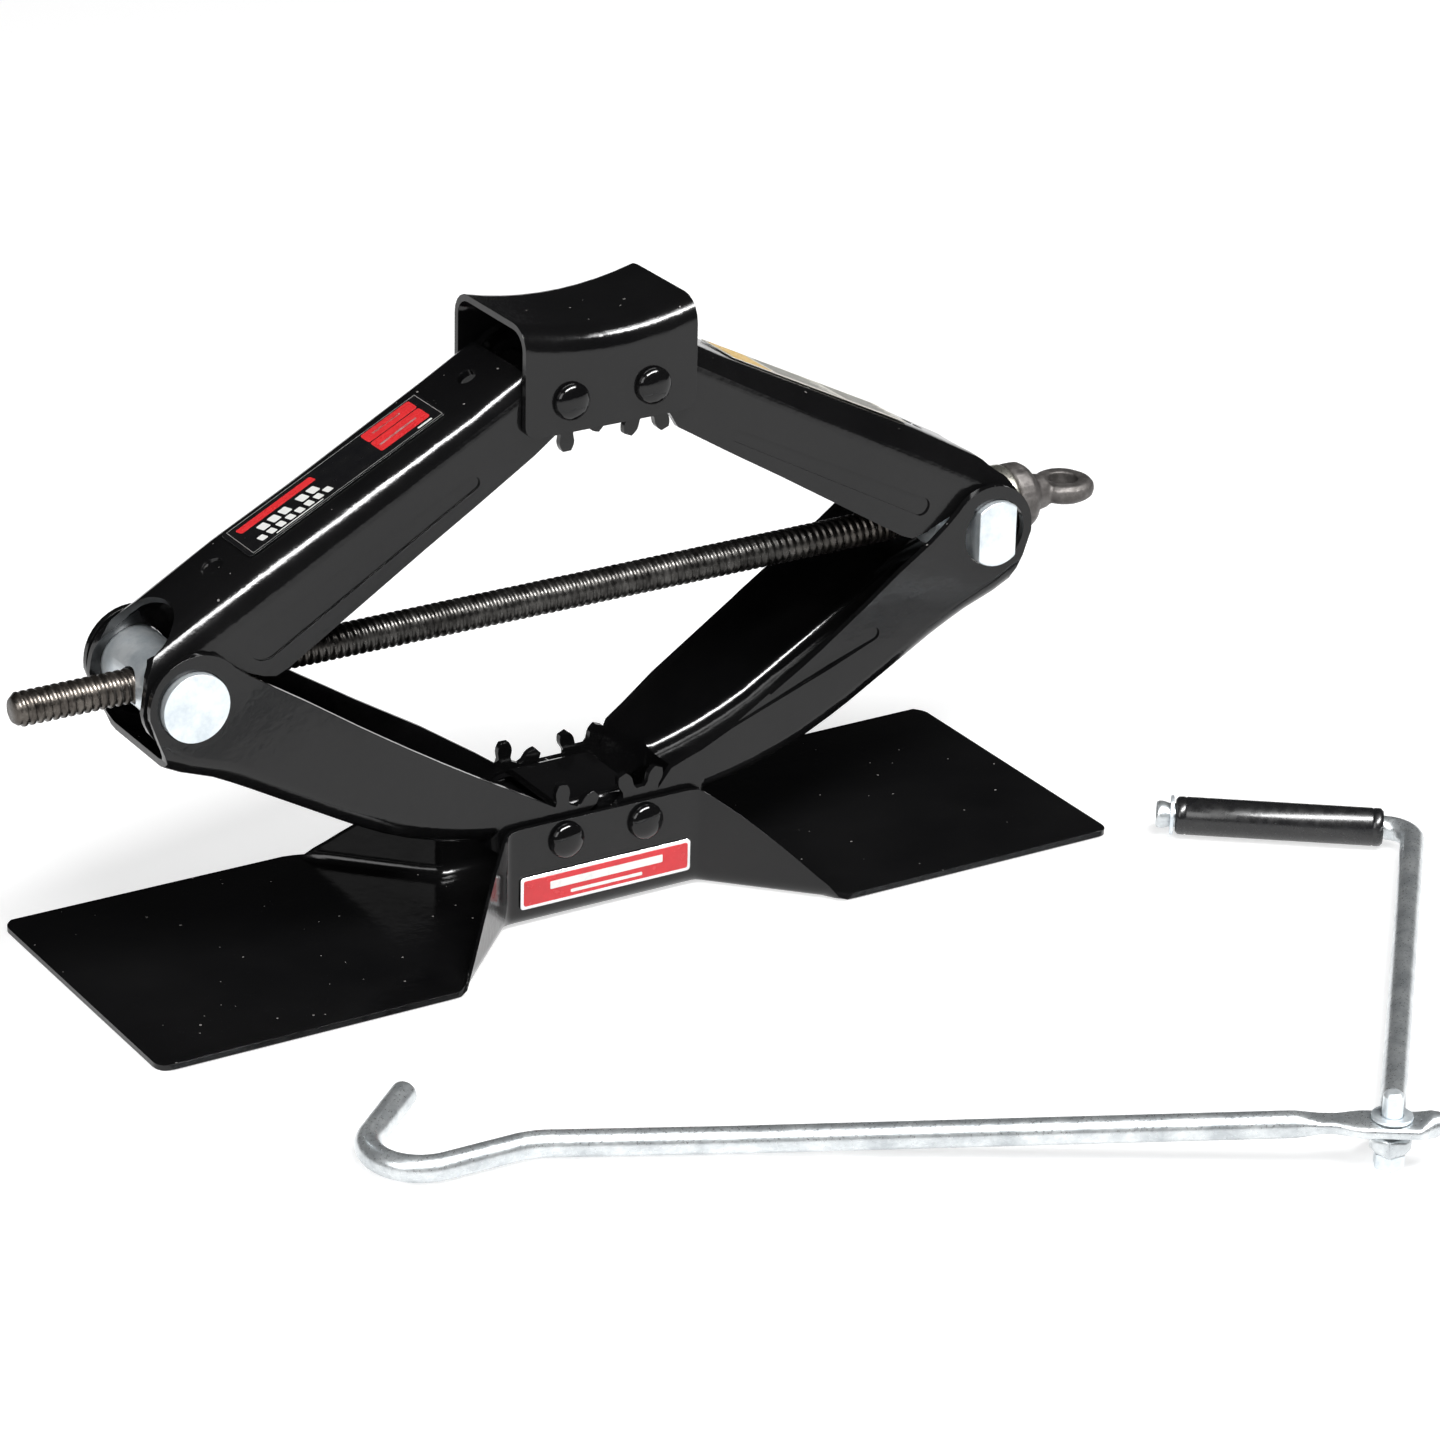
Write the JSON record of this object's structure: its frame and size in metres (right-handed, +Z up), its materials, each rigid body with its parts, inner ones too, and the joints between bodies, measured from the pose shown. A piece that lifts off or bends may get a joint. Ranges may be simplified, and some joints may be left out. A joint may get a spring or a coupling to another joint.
{
  "type": "scissor stabilizer jack",
  "caption": "Scissor jack with geared channel arms between a winged foot and a dished saddle, a lead screw with a drive eye, and a folding hook-ended crank.",
  "frame": {"origin": "centre of the underside of the foot, below the middle of the scissor and in the plane of the screw", "axes": "+X along the screw towards the drive eye, +Z up, +Y away from the side with the badge and the crank"},
  "size_m": [0.5002, 0.3894, 0.2242],
  "materials": {
    "black_enamel": "glossy enamel",
    "rivet_black": "glossy",
    "bright_zinc": "bright zinc plating",
    "bearing_steel": "satin",
    "screw_steel": "oiled",
    "forged_steel": "matte",
    "grip_black": "satin",
    "badge_red": "gloss",
    "label_dark": "gloss film",
    "label_pale": "satin film"
  },
  "bodies": {
    "base": {"base_plate": "black_enamel", "base_spacer": "black_enamel", "base_pivot_pin_left": "rivet_black", "base_pivot_pin_right": "rivet_black", "front_badge": "badge_red"},
    "lower_left": {"lower_left_arm": "black_enamel"},
    "lower_right": {"lower_right_arm": "black_enamel"},
    "upper_left": {"upper_left_arm": "black_enamel", "upper_left_label": "label_dark"},
    "upper_right": {"upper_right_arm": "black_enamel", "upper_right_label": "label_pale"},
    "saddle": {"saddle": "black_enamel", "saddle_spacer": "black_enamel", "saddle_pivot_pin_left": "rivet_black", "saddle_pivot_pin_right": "rivet_black"},
    "trunnion_left": {"trunnion_nut": "bright_zinc"},
    "trunnion_right": {"thrust_trunnion": "bright_zinc"},
    "screw": {"lead_screw": "screw_steel", "bearing_race": "bearing_steel", "bearing_cage": "bright_zinc", "bearing_cup": "bearing_steel", "drive_eye": "forged_steel", "stop_ring": "bright_zinc", "stop_pin": "screw_steel"},
    "crank": {"hook_rod": "bright_zinc", "hinge_bolt": "bright_zinc", "hinge_washer": "bright_zinc"},
    "crank_swing": {"crank_arm": "bright_zinc", "grip_washer": "bright_zinc"},
    "grip": {"crank_grip": "grip_black"}
  },
  "joints": [
    {"name": "lift", "type": "hinge", "parent": "base", "child": "lower_left", "pos_m": [-0.0162, 0, 0.0308], "axis": [0, 1, 0], "range_deg": [-20, 37]},
    {"name": "lower_right_swing", "type": "hinge", "parent": "base", "child": "lower_right", "pos_m": [0.0162, 0, 0.0308], "axis": [0, -1, 0], "range_deg": [-20, 37]},
    {"name": "upper_left_swing", "type": "hinge", "parent": "lower_left", "child": "upper_left", "pos_m": [-0.16141, 0, 0.11329], "axis": [0, -1, 0], "range_deg": [-40, 74]},
    {"name": "upper_right_swing", "type": "hinge", "parent": "lower_right", "child": "upper_right", "pos_m": [0.16141, 0, 0.11329], "axis": [0, 1, 0], "range_deg": [-40, 74]},
    {"name": "saddle_level", "type": "hinge", "parent": "upper_left", "child": "saddle", "pos_m": [-0.0162, 0, 0.19578], "axis": [0, 1, 0], "range_deg": [-20, 37]},
    {"name": "trunnion_left_level", "type": "hinge", "parent": "lower_left", "child": "trunnion_left", "pos_m": [-0.16141, 0, 0.11329], "axis": [0, -1, 0], "range_deg": [-20, 37]},
    {"name": "trunnion_right_level", "type": "hinge", "parent": "lower_right", "child": "trunnion_right", "pos_m": [0.16141, 0, 0.11329], "axis": [0, 1, 0], "range_deg": [-20, 37]},
    {"name": "screw_spin", "type": "hinge", "parent": "trunnion_right", "child": "screw", "pos_m": [0.16141, 0, 0.11329], "axis": [1, 0, 0], "continuous": true},
    {"name": "crank_pick_up", "type": "slide", "parent": "base", "child": "crank", "axis": [0, 0, 1], "range_m": [0, 0.15]},
    {"name": "crank_fold", "type": "hinge", "parent": "crank", "child": "crank_swing", "pos_m": [0.1264, -0.312, 0.0088], "axis": [0, 0, 1], "range_deg": [-240, 4]},
    {"name": "grip_spin", "type": "hinge", "parent": "crank_swing", "child": "grip", "pos_m": [0.24528, -0.09526, 0.0075], "axis": [-0.7986, 0.6018, 0], "continuous": true}
  ],
  "couplings": [
    {"joint": "lower_right_swing", "follows": "lift", "ratio": 1},
    {"joint": "upper_left_swing", "follows": "lift", "ratio": 2},
    {"joint": "upper_right_swing", "follows": "lift", "ratio": 2},
    {"joint": "saddle_level", "follows": "lift", "ratio": 1},
    {"joint": "trunnion_left_level", "follows": "lift", "ratio": 1},
    {"joint": "trunnion_right_level", "follows": "lift", "ratio": 1}
  ]
}
